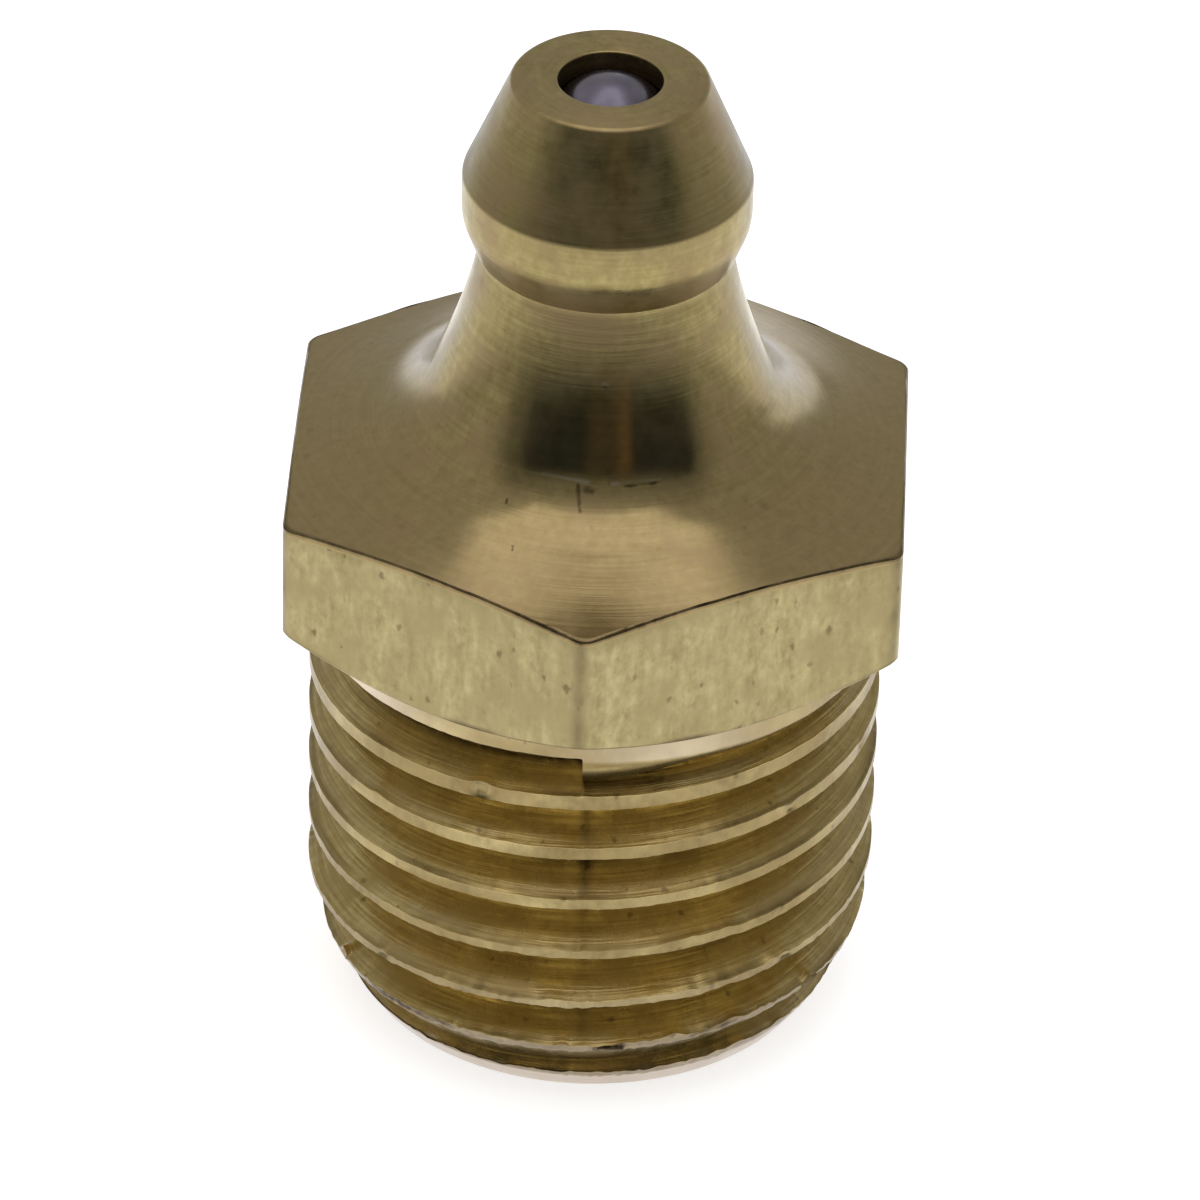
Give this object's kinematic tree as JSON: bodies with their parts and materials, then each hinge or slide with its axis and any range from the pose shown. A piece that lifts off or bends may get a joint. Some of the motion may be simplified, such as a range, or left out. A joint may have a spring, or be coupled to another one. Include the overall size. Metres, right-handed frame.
{
  "type": "grease nipple",
  "caption": "Turned brass grease nipple: grip head with a spring-loaded check ball, flared neck, hexagon and taper-threaded shank.",
  "frame": {"origin": "on the axis, in the plane of the threaded end face, which the part stands on", "axes": "+Z along the axis from the threaded end face to the tip, -Y towards one corner of the hexagon"},
  "size_m": [0.0138, 0.016, 0.0237],
  "materials": {
    "turned_brass": "turned, satin, slightly tarnished",
    "ball_steel": "ground and polished",
    "spring_steel": "drawn wire"
  },
  "bodies": {
    "body": {"nipple_body": "turned_brass", "valve_spring": "spring_steel"},
    "ball": {"check_ball": "ball_steel"}
  },
  "joints": [
    {"name": "ball_lift", "type": "slide", "parent": "body", "child": "ball", "axis": [0, 0, -1], "range_m": [0, 0.0008], "stiffness_N_per_m": 1500, "deforming": ["valve_spring"]}
  ]
}
